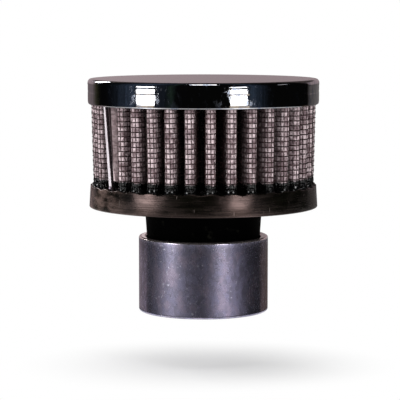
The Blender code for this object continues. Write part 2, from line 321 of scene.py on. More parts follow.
@dataclass(frozen=True)
class SatinAluminium(Finish):
    """Drawn aluminium tube with a satin, slightly stained surface.

    It gives the eye a blue-grey metal with soft upright light bands, clouds and bright specks.
    """

    name: str = "satin aluminium"
    metal: str = "#aba8c2"
    dark_mark: str = "#8d899b"
    blush: str = "#afa5b9"
    speck: str = "#e9e6f6"
    cut_and_rim_highlight: str = "#f4e6e6"
    roughness: Pair = (0.24, 0.3)
    cut_and_rim_highlight_roughness: float = 0.18
    mottle: float = 1.6 * MM
    cloud: float = 3.5 * MM
    speck_size: float = 0.8 * MM
    cluster: float = 5.0 * MM
    draw_line: float = 0.25 * MM

    def paint(self) -> None:
        """Specks of bare metal sit in loose clusters. Faces that look up are lighter and smoother:
        the bare upper cut end, and a painted highlight on its rounded rim.
        """
        mottle = self.grains(self.mottle, (0.3, 0.72), (1.0, 1.0, 1.5), 4.0)
        cloud = self.grains(self.cloud, (0.48, 0.66), (1.0, 1.0, 1.6), 4.0)
        specks = self.grains(self.speck_size, (0.66, 0.7), detail=1.0)
        near = self.grains(self.cluster, (0.5, 0.58), detail=1.0)
        # Lighter, smoother metal on faces that look up: bare metal of the upper cut end, and a
        # painted highlight along its rounded rim.
        cut_and_rim_highlight = self.add("MapRange", self.along("Normal", "Z"), 0.03, 0.3)
        specks = self.add("Math", specks, near)
        layers = (mottle, self.dark_mark), (cloud, self.blush), (specks, self.speck), (cut_and_rim_highlight, self.cut_and_rim_highlight)
        rough = self.add("MapRange", mottle, 0.0, 1.0, *self.roughness)
        drawn = self.grains(self.draw_line, stretch=(1.0, 1.0, 24.0), detail=2.0)
        self.feed_shader(
            {
                "Base Color": self.coats(self.metal, *layers),
                "Roughness": self.add("Mix", cut_and_rim_highlight, rough, self.cut_and_rim_highlight_roughness, data_type="FLOAT"),
                "Metallic": 0.95,
            },
            (drawn, 0.15, 0.02 * MM),
        )


@dataclass(frozen=True)
class BlackRubber(Finish):
    """Moulded black rubber with fine level flow lines.

    It gives the eye a dark satin gloss, streaked round the part, over a nearly black body.
    """

    name: str = "moulded black rubber"
    body: str = "#030402"
    bloom: str = "#0a0b06"
    pale_blotch: str = "#5a4b46"
    scratch: str = "#5e5653"
    gloss: str = "#ffdad4"
    roughness: Pair = (0.2, 0.31)
    streak: float = 0.35 * MM
    streak_length: float = 30.0
    blotch: float = 2.5 * MM
    lighter_side: Pair = (-22 * MM, -31 * MM)

    def paint(self) -> None:
        """Pale blotches lie only on the side towards -X: dust, and painted light that makes that
        side lighter.
        """
        long = (self.streak_length, self.streak_length, 1.0)
        streaks = self.grains(self.streak, (0.35, 0.7), long, 4.0)
        blotches = self.grains(self.blotch, (0.3, 0.7), (2.5, 2.5, 1.0), 4.0)
        # Pale blotches only towards -X: partly dust, partly painted light on that side.
        side = self.add("MapRange", self.along("Object", "X"), *self.lighter_side)
        dust_and_side_light = self.add("Math", side, blotches)
        scratches = self.grains(0.4 * MM, (0.74, 0.79), (1.0, 1.0, 14.0), 1.0)
        layers = (streaks, self.bloom), (dust_and_side_light, self.pale_blotch), (scratches, self.scratch)
        worn = self.add("Mix", 0.6, streaks, blotches, data_type="FLOAT")
        self.feed_shader(
            {
                "Base Color": self.coats(self.body, *layers),
                "Roughness": self.add("MapRange", worn, 0.1, 0.9, *self.roughness),
                "Specular IOR Level": 0.78,
                "Specular Tint": self.gloss,
            },
            (streaks, 0.3, 0.03 * MM),
        )


@dataclass(frozen=True)
class NeckRubber(Finish):
    """The same rubber, matt, with dull rubs, made soot black with almost no gloss: painted shade
    for the neck and the tray's underside, which the tray shades.
    """

    name: str = "matt rubber in painted shade"
    body: str = "#000000"
    rub: str = "#12120e"
    roughness: float = 0.7

    def paint(self) -> None:
        """Feeds the shader."""
        rubs = self.grains(2.5 * MM, (0.6, 0.75), detail=4.0)
        # Soot black and nearly glossless: painted shade for the faces under the tray.
        colour = self.coats(self.body, (rubs, self.rub))
        self.feed_shader(
            {"Base Color": colour, "Roughness": self.roughness, "Specular IOR Level": 0.02}
        )


@dataclass(frozen=True)
class CastUrethane(Finish):
    """Cast urethane: black, smooth where it set in the open, with small pocks."""

    name: str = "cast black urethane"
    body: str = "#050505"
    pale_blotch: str = "#1c1a1a"
    roughness: float = 0.16

    def paint(self) -> None:
        """Feeds the shader."""
        pocks = self.grains(0.7 * MM)
        colour = self.coats(self.body, (self.add("MapRange", pocks, 0.55, 0.8), self.pale_blotch))
        self.feed_shader(
            {"Base Color": colour, "Roughness": self.roughness, "Specular IOR Level": 0.8},
            (pocks, 0.5, 0.1 * MM),
        )


@dataclass(frozen=True)
class CoatedWire(Finish):
    """Drawn steel wire under a dark epoxy coat.

    It gives the eye thin brown-black lines with dull glints, wet black where rubber soaked in.
    """

    name: str = "epoxy coated steel wire"
    coat: str = "#2b1a18"
    worn: str = "#5c4243"
    soaked: str = "#040404"
    roughness: Pair = (0.45, 0.12)

    def paint(self) -> None:
        """Feeds the shader."""
        wear, wet = self.grains(1.1 * MM, (0.5, 0.75)), self.soak_mask()
        self.feed_shader(
            {
                "Base Color": self.coats(self.coat, (wear, self.worn), (wet, self.soaked)),
                "Roughness": self.add("MapRange", wet, 0.0, 1.0, *self.roughness),
            },
            (self.grains(0.3 * MM, detail=2.0), wet, 0.12 * MM),
        )


@dataclass(frozen=True)
class CottonGauze(Finish):
    """Layers of woven cotton gauze, lightly oiled.

    It gives the eye a soft pale pink-grey that swells in each window of the wire cloth, with
    painted shade darker down in the folds, and wet black along the foot.
    """

    name: str = "oiled cotton gauze"
    cotton: str = "#dfcbcf"
    shade: str = "#7e696e"
    deep: str = "#17110f"
    flank: tuple[str, str] = ("#ffe9ec", "#c9afb2")
    dark_mark: str = "#3a2a2d"
    soaked: str = "#050505"
    roughness: Pair = (0.9, 0.12)
    thread: float = 0.42 * MM

    def paint(self) -> None:
        """The map "weave" counts windows of the wire cloth, and each has a tone of its own.

        The bare flank by the seam strip comes before the map's zero. It is mottled, with a painted
        shadow that widens upwards by the strip.
        """
        weave = self.add("UVMap", uv_map="weave")
        cell = self.add("VectorMath", weave, operation="FLOOR")
        chance = self.add("TexWhiteNoise", cell, noise_dimensions="2D")
        grain = self.grains(1.6 * MM, detail=4.0)
        tone = self.add("Math", chance, 0.25, grain, operation="MULTIPLY_ADD")
        depth = self.add("Attribute", out="Fac", attribute_name="fold_depth")
        bare = self.add("MapRange", self.add("SeparateXYZ", weave), -0.5, -0.8)
        mottle = self.grains(0.6 * MM, (0.36, 0.64), (3.0, 3.0, 1.2))
        # Painted shadow beside the seam strip, wider towards the top, on the bare flank.
        line = self.add("Math", self.along("Object", "Z"), -2.0, depth, operation="MULTIPLY_ADD")
        strip_shadow = self.add("Math", self.add("MapRange", line, 0.012, -0.012), bare)
        wet = self.soak_mask()
        firm = self.add("MapRange", bare, 0.0, 1.0, 1.0, 0.1)
        threads = self.waves(2 * math.pi * WireCloth.round_pitch / self.thread, "ADD")
        colour = self.coats(
            self.cotton,
            (self.add("MapRange", tone, 0.4, 0.8), self.shade),
            # Painted shade: darker down in the folds, by the attribute fold_depth.
            (self.add("MapRange", depth, 0.12, 0.6), self.deep),
            (bare, self.coats(self.flank[0], (mottle, self.flank[1]))),
            (strip_shadow, self.dark_mark),
            (wet, self.soaked),
        )
        rough = self.add("MapRange", wet, 0.0, 1.0, *self.roughness)
        self.feed_shader(
            {"Base Color": colour, "Roughness": rough, "Specular IOR Level": 0.8},
            (self.waves(math.pi, "MULTIPLY"), firm, 0.2 * MM),
            (threads, firm, 0.015 * MM),
            (self.grains(0.4 * MM, None, (1.0, 1.0, 2.2), 2.0), wet, 0.2 * MM),
        )


@dataclass(frozen=True)
class InnerMesh(Finish):
    """Galvanised inner wire cloth, drawn as relief because it only shows through the bore."""

    name: str = "galvanised wire cloth"
    zinc: str = "#8b8c90"
    window: str = "#1d1a19"
    roughness: float = 0.42

    def paint(self) -> None:
        """Feeds the shader."""
        # The windows are painted dark: painted shade for the inside seen through the openings.
        window = self.add("MapRange", self.waves(math.pi, "MINIMUM"), 0.25, 0.45)
        self.feed_shader(
            {
                "Base Color": self.coats(self.zinc, (window, self.window)),
                "Normal": self.add("Bump", 1.0, 0.12 * MM, None, window, invert=True),
                "Metallic": self.add("MapRange", window, 0.0, 1.0, 0.9, 0.0),
                "Roughness": self.roughness,
            }
        )


@dataclass(frozen=True)
class StripMetal(Finish):
    """Rolled aluminium strip, pale and satin, with rubber crept over its foot."""

    name: str = "rolled aluminium strip"
    metal: str = "#efe6ec"
    dull: str = "#b5abb0"
    soaked: str = "#080808"
    roughness: Pair = (0.3, 0.22)
    foot_line: float = 43.0 * MM
    foot_blur: float = 0.15 * MM

    def paint(self) -> None:
        """Feeds the shader."""
        wear = self.grains(2.0 * MM, (0.5, 0.8), (1.0, 1.0, 3.0))
        line = (self.foot_line + self.foot_blur, self.foot_line - self.foot_blur)
        wet = self.add("MapRange", self.along("Object", "Z"), *line)
        self.feed_shader(
            {
                "Base Color": self.coats(self.metal, (wear, self.dull), (wet, self.soaked)),
                "Roughness": self.add("MapRange", wet, 0.0, 1.0, *self.roughness),
                "Metallic": self.add("MapRange", wet, 0.0, 1.0, 0.25, 0.0),
            }
        )


@dataclass(frozen=True)
class SeamGlueAndShade(Finish):
    """A dull dark mauve-brown: painted shade on the strip's sides. With paler colours it is the set
    glue of the drop at the strip's foot.
    """

    name: str = "strip side painted shade"
    body: str = "#392a2e"
    blot: str = "#1c1315"
    roughness: float = 0.5

    def paint(self) -> None:
        """Feeds the shader."""
        colour = self.coats(self.body, (self.grains(0.8 * MM, (0.4, 0.7)), self.blot))
        self.feed_shader({"Base Color": colour, "Roughness": self.roughness})


@dataclass(frozen=True)
class WhitePaper(Finish):
    """Matt white paper that goes to plain white further out. Near the middle it is darker in an
    oval: a painted shadow, through which its own shading and the filter's shadow show.
    """

    name: str = "matt white paper"
    paper: str = "#f2f2f2"
    oval: Triple = (1.0, 1.38, 0.0)
    shadow: Pair = (4 * MM, 67 * MM)
    least_white: float = 0.15

    def paint(self) -> None:
        """Plain white takes over by the distance from the middle of an oval. Less white near the
        middle paints a shadow.
        """
        place = self.add("Mapping", self.add("TexCoord", out="Object"), None, None, self.oval)
        reach = self.add("VectorMath", place, operation="LENGTH")
        # Painted shadow: the share of plain white is least in the middle of the oval.
        share = self.add("MapRange", reach, *self.shadow, self.least_white, 1.0)
        self.feed_shader({"Base Color": self.paper, "Roughness": 0.9, "Specular IOR Level": 0.0})
        paper = self.holder.node_tree.nodes["Principled BSDF"].outputs[0]
        white = self.add("Emission", None, 1.0)
        mixed = self.add("MixShader", self.add("Math", share, self.seen()), paper, white)
        self.feed("Material Output", {"Surface": mixed})


@dataclass(frozen=True)
class LitCard(Finish):
    """A card whose front shines with the light that its points carry as "glow"."""

    name: str

    def paint(self) -> None:
        """Feeds the material's output."""
        front = self.add("MapRange", self.add("NewGeometry", out="Backfacing"), 0.0, 1.0, 1.0, 0.0)
        shine = self.add("Emission", self.add("Attribute", attribute_name="glow"), front)
        self.feed("Material Output", {"Surface": shine})


@dataclass(frozen=True)
class StudioAir(Finish):
    """White where it is seen, and a plain grey fill as light."""

    name: str = "studio"
    store: str = "worlds"
    fill: float = 0.4

    def paint(self) -> None:
        """Feeds the world's background."""
        strength = self.add("MapRange", self.seen(), 0.0, 1.0, self.fill, 1.0)
        self.feed("Background", {"Color": "#ffffff", "Strength": strength})


def arc(centre: Pair, radius: float, start: float, end: float, steps: int) -> Array:
    """Points of an arc in a profile plane: centre plus radius times (cosine, sine).

    Args:
        centre: Its centre.
        radius: Its radius.
        start: First angle in degrees.
        end: Last angle in degrees.
        steps: Number of stretches.

    Returns:
        Array of (steps + 1) points.
    """
    angle = np.radians(np.linspace(start, end, steps + 1))
    return np.stack([centre[0] + radius * np.cos(angle), centre[1] + radius * np.sin(angle)], -1)


def around(angle: Array | float, radius: Array | float, height: Array | float) -> Array:
    """Points (radius sin a, -radius cos a, height) for each angle a, (..., 3)."""
    flat = radius * np.sin(angle), -radius * np.cos(angle)
    return np.stack(np.broadcast_arrays(*flat, height), axis=-1)


def grid_faces(rows: int, columns: int, wrap_rows: bool, wrap_columns: bool) -> tuple:
    """Quads of a grid of points.

    Args:
        rows: Number of rows.
        columns: Number of columns.
        wrap_rows: The last row joins the first.
        wrap_columns: The last column joins the first.

    Returns:
        Vertex numbers, and the unwrapped row and column of each corner, each (faces, 4).
    """
    row, column = np.meshgrid(
        np.arange(rows if wrap_rows else rows - 1),
        np.arange(columns if wrap_columns else columns - 1),
        indexing="ij",
    )
    row = row.ravel()[:, None] + np.array([0, 0, 1, 1])
    column = column.ravel()[:, None] + np.array([0, 1, 1, 0])
    return (row % rows) * columns + column % columns, row, column


def bar_faces(rows: int, columns: int, first: int = 0) -> list[list[int]]:
    """Faces of a bar, its rows round it and its columns along it, with both its ends closed.

    Args:
        rows: Number of rows.
        columns: Number of columns.
        first: Number of its first vertex.

    Returns:
        The quads and then the two ends.
    """
    quads, _, _ = grid_faces(rows, columns, True, False)
    start = list(range(first, first + rows * columns, columns))
    return (quads + first).tolist() + [start, [v + columns - 1 for v in reversed(start)]]


def place_object(name: str, data: bpy.types.ID) -> bpy.types.Object:
    """Puts a mesh, a lamp or a camera into the scene.

    Args:
        name: The object's name.
        data: What it holds.

    Returns:
        The new object.
    """
    obj = bpy.data.objects.new(name, data)
    bpy.context.scene.collection.objects.link(obj)
    return obj


@dataclass(frozen=True)
class Look:
    """Record slot and material of a piece, and the CAD node that it stands for, if any."""

    slot: Slot
    material: Material
    replaced: str | None = None


def add_piece(
    name: str,
    points: Array,
    faces: list,
    look: Look,
    edge: Edge = Edge.SOFT,
    uv: Array | None = None,
    depth: Array | None = None,
    weld: bool = False,
) -> bpy.types.Object:
    """Turns arrays into a finished piece that rides on the part.

    Args:
        name: The piece's name.
        points: Vertices, (n, 3).
        faces: Lists of vertex numbers.
        look: Its slot, material and CAD node.
        edge: The angle above which edges are sharp.
        uv: Map for each face corner, (corners, 2), kept as "weave".
        depth: Value for each vertex, kept as "fold_depth".
        weld: Merge the points that meet at poles, and turn the faces outwards.

    Returns:
        The new object.
    """
    mesh = bpy.data.meshes.new(name)
    mesh.from_pydata(points.reshape(-1, 3).tolist(), [], faces)
    if uv is not None:
        mesh.uv_layers.new(name="weave").data.foreach_set("uv", uv.astype(np.float32).ravel())
    if depth is not None:
        attribute = mesh.attributes.new("fold_depth", "FLOAT", "POINT")
        attribute.data.foreach_set("value", depth.astype(np.float32).ravel())
    if weld:
        bm = bmesh.new()
        bm.from_mesh(mesh)
        bmesh.ops.remove_doubles(bm, verts=bm.verts, dist=1e-7)
        bmesh.ops.recalc_face_normals(bm, faces=bm.faces)
        bm.to_mesh(mesh)
        bm.free()
    mesh.validate()
    mesh.shade_smooth()
    mesh.set_sharp_from_angle(angle=edge.value)
    mesh.materials.append(look.material)
    piece = place_object(name, mesh)
    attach(piece, BODY)
    if look.replaced:
        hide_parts(look.replaced)
    LOG.info("%s: %d faces", name, len(mesh.polygons))
    return piece


def turned_piece(
    name: str,
    stretches: list,
    look: Look,
    segments: int = 192,
    closed: bool = True,
    lift: Array | float = 0.0,
    centre: Triple = (0.0, 0.0, 0.0),
) -> bpy.types.Object:
    """Surface of turning: each point of a profile goes round the axis at its radius and height.

    Args:
        name: The piece's name.
        stretches: Lists of points (radius, height) that follow each other along the profile.
        look: Its slot, material and CAD node.
        segments: Steps round the axis.
        closed: The profile's last point joins its first; otherwise both lie on the axis.
        lift: Height added at each angle and profile point.
        centre: Where the axis and the zero height lie.

    Returns:
        The new object.
    """
    profile = np.concatenate(stretches)
    angle = np.arange(segments)[:, None] * 2 * math.pi / segments
    points = around(angle, profile[:, 0], profile[:, 1] + lift) + np.array(centre)
    faces = grid_faces(segments, len(profile), True, closed)[0].tolist()
    return add_piece(name, points, faces, look, Edge.CRISP, weld=True)


def paint_below(
    piece: bpy.types.Object, kind: str, axis: Array, limit: float, material: Material
) -> None:
    """Gives a second material to the faces that reach less than a limit along an axis.

    Args:
        piece: The piece.
        kind: What of a face is measured, its "center" or its "normal".
        axis: The axis.
        limit: The limit.
        material: The second material.
    """
    values = np.empty(len(piece.data.polygons) * 3)
    piece.data.polygons.foreach_get(kind, values)
    below = values.reshape(-1, 3) @ axis < limit
    piece.data.materials.append(material)
    piece.data.polygons.foreach_set("material_index", below.astype(np.int32))


@dataclass(frozen=True)
class FoldedPack:
    """The folded sheet's lie. A place on it is a share of the way round and a level 0 to 1.

    A fold's line goes up its left leg, round its tip, down its right leg and through the valley
    to the next fold. The sheet runs from the seam fold's right leg round to its left leg.
    """

    foot: float
    top: float
    folds: int = 35
    fold_width: float = 3.4 * MM
    root_radius: float = 26.15 * MM
    foot_radius: float = 36.25 * MM
    flare: float = 0.7 * MM
    first_root: float = math.radians(-78.3)
    tip_sway: float = math.radians(1.5)
    sway_zero: float = math.radians(17.4)
    tip_spread: float = math.radians(0.6)
    seam_fold: int = 2
    seam_foot: float = math.radians(-54.8)
    seam_top: float = math.radians(-59.3)
    seam_push: float = math.radians(-1.8)
    under_strip: float = 0.9 * MM
    leg_samples: int = 32
    tip_samples: int = 25
    valley_samples: int = 13

    def root_angles(self, past: float = 0.0) -> Array:
        """Angles of the folds' roots, the seam fold first, or of places a share past them."""
        number = self.seam_fold + np.arange(self.folds) + past
        return self.first_root + 2 * math.pi / self.folds * number

    def fold_frames(self, level: Array) -> tuple[Array, ...]:
        """Frames of all folds, the seam fold first. Tips sway in three waves and spread in two.

        Args:
            level: Levels, (n,).

        Returns:
            Root, tip centre, direction along and direction across, each (n, folds, 2).
        """
        root_angle = self.root_angles()
        tip_angle = root_angle + self.tip_sway * np.sin(3 * (root_angle - self.sway_zero))
        tip_angle = tip_angle + self.tip_spread * np.cos(2 * root_angle)
        tip_angle[-1] += self.seam_push
        tip_angle = np.repeat(tip_angle[None], len(level), axis=0)
        tip_angle[:, 0] = self.seam_foot + (self.seam_top - self.seam_foot) * level
        reach = self.foot_radius + self.flare * level - self.fold_width / 2
        centre = around(tip_angle, reach[:, None], 0.0)[..., :2]
        root = np.broadcast_to(around(root_angle, self.root_radius, 0.0)[:, :2], centre.shape)
        along = centre - root
        along = along / np.linalg.norm(along, axis=-1, keepdims=True)
        return root, centre, along, np.stack([-along[..., 1], along[..., 0]], axis=-1)

    def outline(self, level: Array) -> Array:
        """The sheet's outer line at each level, closely sampled.

        Legs are straight, tips half circles, and a valley is the half ellipse through the feet
        of its two legs and its lowest point.

        Args:
            level: Levels, (n,).

        Returns:
            Points (n, samples, 2), from the seam's right side round to its left side.
        """
        root, centre, along, across = (a[:, :, None] for a in self.fold_frames(level))
        half = self.fold_width / 2
        length = np.linalg.norm(centre - root, axis=-1, keepdims=True)
        share = np.linspace(0, 1, self.leg_samples, endpoint=False)[:, None]
        left_leg = root - half * across + share * length * along
        right_leg = root + half * across + (1 - share) * length * along
        turn = np.linspace(-math.pi / 2, math.pi / 2, self.tip_samples, endpoint=False)[:, None]
        tip = centre + half * (np.cos(turn) * along + np.sin(turn) * across)

        right_foot = root + half * across
        middle = (right_foot + np.roll(root - half * across, -1, axis=1)) / 2
        gap = math.pi * self.root_radius / self.folds - half
        lowest = around(self.root_angles(0.5), self.root_radius - gap, 0.0)[:, None, :2]
        dip = np.linspace(0, math.pi, self.valley_samples, endpoint=False)[:, None]
        valley = middle + np.cos(dip) * (right_foot - middle) + np.sin(dip) * (lowest - middle)

        stand = length + half - self.under_strip
        seam_right = (root + half * across + (1 - share) * stand * along)[:, 0]
        end_share = np.linspace(0, 1, self.leg_samples)[:, None]
        seam_left = (root - half * across + end_share * stand * along)[:, 0]
        blocks = np.concatenate([left_leg, tip, right_leg, valley], axis=2)[:, 1:]
        blocks = blocks.reshape(len(level), -1, 2)
        return np.concatenate([seam_right, valley[:, 0], blocks, seam_left], axis=1)

    def lengths(self, line: Array) -> Array:
        """Way covered along each line from its start, (n, samples)."""
        steps = np.linalg.norm(np.diff(line, axis=1, prepend=line[:, :1]), axis=-1)
        return np.cumsum(steps, axis=1)

    def place(self, level: Array, share: Array, depth: Array | float) -> tuple[Array, Array]:
        """Points at shares of each line's length, moved inwards by a depth along its normal.

        Args:
            level: Levels, (n,).
            share: Shares of the way round, (m,).
            depth: Depth below the sheet's outer face, (n, m) or one number.

        Returns:
            Points and outward directions, each (n, m, 3).
        """
        line = self.outline(level)
        tangent = np.gradient(line, axis=1)
        normal = np.stack([tangent[..., 1], -tangent[..., 0]], axis=-1)
        normal = normal / np.linalg.norm(normal, axis=-1, keepdims=True)
        both = np.concatenate([line, normal], axis=-1)
        sampled = np.stack(
            [
                np.stack([np.interp(share * way[-1], way, values) for values in curves.T], -1)
                for way, curves in zip(self.lengths(line), both)
            ]
        )
        out = sampled[..., 2:] / np.linalg.norm(sampled[..., 2:], axis=-1, keepdims=True)
        flat = sampled[..., :2] - np.asarray(depth)[..., None] * out
        height = np.broadcast_to(self.height(level)[:, None, None], (*flat.shape[:2], 1))
        points = np.concatenate([flat, height], axis=-1)
        return points, np.concatenate([out, np.zeros_like(height)], axis=-1)

    def level(self, height: Array | float) -> Array:
        """Levels of the given heights."""
        return (np.asarray(height) - self.foot) / (self.top - self.foot)

    def height(self, level: Array) -> Array:
        """Heights of the given levels."""
        return self.foot + (self.top - self.foot) * level

    def length(self) -> float:
        """Length of the sheet's outer line half way up."""
        return float(self.lengths(self.outline(np.array([0.5])))[0, -1])

    def fold_depth(self, points: Array) -> Array:
        """How far points lie down in the folds: 0 at the tips and 1 at the roots."""
        reach = self.foot_radius + self.flare * self.level(points[..., 2])
        return (reach - np.linalg.norm(points[..., :2], axis=-1)) / (reach - self.root_radius)


@dataclass(frozen=True)
class WireCloth:
    """Plain-woven wire cloth over the folds: level wires and upright wires pass over and under."""

    pack: FoldedPack
    low: float
    high: float
    material: Material
    level_wire: float = 0.37 * MM
    upright_wire: float = 0.29 * MM
    middle_depth: float = 0.18 * MM
    crimp: float = 0.11 * MM
    upright_sink: float = 0.04 * MM
    rise_pitch: float = 1.57 * MM
    round_pitch: float = 1.41 * MM
    bare_flank: float = 9.0 * MM

    def counts(self) -> tuple[int, int, float]:
        """Counts the wires.

        Returns:
            Numbers of upright and level wires, and the share at which the bare flank ends.
        """
        length = self.pack.length()
        upright = round((length - self.bare_flank) / self.round_pitch)
        level = math.floor((self.high - self.low) / self.rise_pitch)
        return upright, level, self.bare_flank / length

    @staticmethod
    def tubes(wire: float, points: Array, first: Array, second: Array) -> tuple:
        """Four-sided tubes round many paths: path plus or minus half a wire both ways.

        Args:
            wire: Thickness of the wire.
            points: Paths, (wires, samples, 3).
            first: One direction square to the paths.
            second: The other direction square to the paths.

        Returns:
            Vertices and faces, the tubes' ends closed.
        """
        ring = np.stack([first, second, -first, -second], axis=2) * wire / 2
        wires, samples = points.shape[:2]
        quads, _, _ = grid_faces(samples, 4, False, True)
        ends = np.array([[3, 2, 1, 0], [0, 1, 2, 3]]) + np.array([[0], [(samples - 1) * 4]])
        one = np.concatenate([quads[:, ::-1], ends[:, ::-1]])
        faces = one[None] + (np.arange(wires) * samples * 4)[:, None, None]
        return points[:, :, None] + ring, faces.reshape(-1, 4).tolist()

    def weave(self, upright: bool) -> None:
        """Wires of one way: depth swings with a cosine, one half wave for each wire crossed.

        Args:
            upright: Weaves the upright wires instead of the level ones.
        """
        count, rows, start = self.counts()
        window, row = np.arange(2 * count + 1) / 2 - 0.5, np.arange(rows)
        if upright:
            window, row = np.arange(count), np.arange(2 * rows + 1) / 2 - 0.5
        share = start + (1 - start) * (window + 0.5) / count
        height = self.low + (row + 0.5) * self.rise_pitch
        swing = np.cos(math.pi * (window[None] + row[:, None])) * self.crimp
        depth = self.middle_depth + (self.upright_sink + swing if upright else -swing)
        points, out = self.pack.place(self.pack.level(height), share, depth)
        if upright:
            name, wire = "upright_wires", self.upright_wire
            points, out = points.transpose(1, 0, 2), out.transpose(1, 0, 2)
            side = np.stack([out[..., 1], -out[..., 0], out[..., 2]], axis=-1)
        else:
            name, wire = "level_wires", self.level_wire
            side = np.broadcast_to((0.0, 0.0, 1.0), out.shape)
        tube, faces = self.tubes(wire, points, out, side)
        add_piece(name, tube, faces, Look(Slot.WIRE, self.material, "outer_screen"))


@dataclass(frozen=True)
class Ply:
    """One whole ply of the folded sheet as a closed wall, mapped in windows of the wire cloth."""

    name: str
    cloth: WireCloth
    outer_depth: float
    thickness: float
    samples: int = 1400
    levels: int = 7

    def build(self, look: Look) -> None:
        """Wall between two depths: the outer line up, over, and back down on the inner line.

        Args:
            look: Its slot, material and CAD node.
        """
        pack, cloth = self.cloth.pack, self.cloth
        level, share = np.linspace(0, 1, self.levels), np.linspace(0, 1, self.samples)
        outer, _ = pack.place(level, share, self.outer_depth)
        inner, _ = pack.place(level, share, self.outer_depth + self.thickness)
        points = np.concatenate([outer, inner[::-1]])
        rows = len(points)
        _, row, column = grid_faces(rows, self.samples, True, False)
        count, _, start = cloth.counts()
        way = (share - start) / (1 - start) * count - 0.5
        rise = (points[:, 0, 2] - cloth.low) / cloth.rise_pitch - 0.5
        uv = np.stack([way[column], rise[row % rows]], axis=-1).reshape(-1, 2)
        uv = np.concatenate([uv, np.full((2 * rows, 2), way[0])])
        faces, depth = bar_faces(rows, self.samples), pack.fold_depth(points)
        add_piece(self.name, points, faces, look, uv=uv, depth=depth)


@dataclass(frozen=True)
class RubberFoot:
    """Fillet of cast rubber that climbs the pleats where they stand in the base."""

    pack: FoldedPack
    level_height: float
    spread: float = 0.55 * MM
    climb: float = 1.0 * MM
    wander: float = 0.55 * MM
    wander_waves: tuple[Pair, ...] = ((97, 0.4), (151, 2.1), (233, 4.0))
    skin: float = 0.17 * MM
    inside: float = 0.5 * MM
    inside_rises: Pair = (1.1, -0.3)
    samples: int = 2400
    steps: int = 5

    def build(self, material: Material) -> None:
        """Hollow fillet along the sheet, whose climb wanders by a sum of three sines.

        Args:
            material: The cast rubber.
        """
        share = np.linspace(0, 1, self.samples)
        ripple = sum(np.sin(2 * math.pi * n * share + phase) for n, phase in self.wander_waves)
        climb = self.climb + self.wander * ripple / 3
        turn = np.linspace(0, math.pi / 2, self.steps + 1)
        depths = np.append(-self.skin - self.spread * (1 - np.sin(turn)), [self.inside] * 2)
        rises = np.append(1 - np.cos(turn), self.inside_rises)
        level = np.full(len(rises), self.pack.level(self.level_height))
        points, _ = self.pack.place(level, share, depths[:, None])
        points[..., 2] = self.level_height + rises[:, None] * climb
        faces = bar_faces(len(rises), self.samples)
        add_piece("rubber_fillet", points, faces, Look(Slot.RUBBER, material))


@dataclass(frozen=True)
class SeamStrip:
    """Bar over the sheet's two ends, with a web that goes down between them."""

    pack: FoldedPack
    width: float = 1.4 * MM
    thickness: float = 0.6 * MM
    corner: float = 0.18 * MM
    web_width: float = 0.8 * MM
    web_depth: float = 4.0 * MM
    levels: int = 9
    face_slope: float = 0.8
    drop_size: float = 0.42 * MM
    drop_out: float = 0.1 * MM

    @staticmethod
    def section(half: float, top: float, bottom: float, corner: float) -> Array:
        """Rounded rectangle in (across, along), counter-clockwise from its lower right corner.

        Args:
            half: Half its width.
            top: Its upper end.
            bottom: Its lower end.
            corner: Radius of its corners.

        Returns:
            Its points.
        """
        side, low, high = half - corner, bottom + corner, top - corner
        middles = enumerate([(side, low), (side, high), (-side, high), (-side, low)])
        return np.concatenate([arc(at, corner, 90 * n - 90, 90 * n, 3) for n, at in middles])

    def build(self, material: Material, side_shade: Material) -> None:
        """Bar and web: each section is carried straight from the pack's foot to its top.

        Args:
            material: Finish of the bar's outer face.
            side_shade: Dark finish of its sides, painted shade.
        """
        level = np.linspace(0, 1, self.levels)
        _, centre, along, across = (a[:, 0] for a in self.pack.fold_frames(level))
        crest = centre + self.pack.fold_width / 2 * along
        under = -self.thickness
        bar = self.section(self.width / 2, 0.0, under, self.corner)
        web = self.section(self.web_width / 2, under / 2, under - self.web_depth, self.corner / 2)
        section = np.concatenate([bar, web])[:, None]
        flat = crest + section[..., :1] * across + section[..., 1:] * along
        height = np.broadcast_to(self.pack.height(level)[:, None], (*flat.shape[:2], 1))
        points = np.concatenate([flat, height], axis=-1)
        faces = bar_faces(len(bar), self.levels)
        faces += bar_faces(len(web), self.levels, len(bar) * self.levels)
        look = Look(Slot.STRIP, material, "seam_strip")
        piece = add_piece("seam_bar", points, faces, look, Edge.CRISP, weld=True)
        outward = np.append(along.mean(axis=0), 0.0)
        # The strip's sides get a dark finish: painted shade.
        paint_below(piece, "normal", outward, self.face_slope, side_shade)

    def build_drop(self, material: Material, height: float) -> None:
        """Small set drop at the strip's foot, half sunk in the base's rim.

        Args:
            material: The set glue.
            height: Height of its middle.
        """
        _, centre, along, _ = (a[0, 0] for a in self.pack.fold_frames(np.array([0.1])))
        place = centre + (self.pack.fold_width / 2 + self.drop_out) * along
        ball = np.maximum(arc((0.0, 0.0), self.drop_size, -90, 90, 8), [0.0, -1.0])
        look, centre = Look(Slot.STRIP, material), (*place, height)
        turned_piece("seam_drop", [ball], look, segments=16, closed=False, centre=centre)


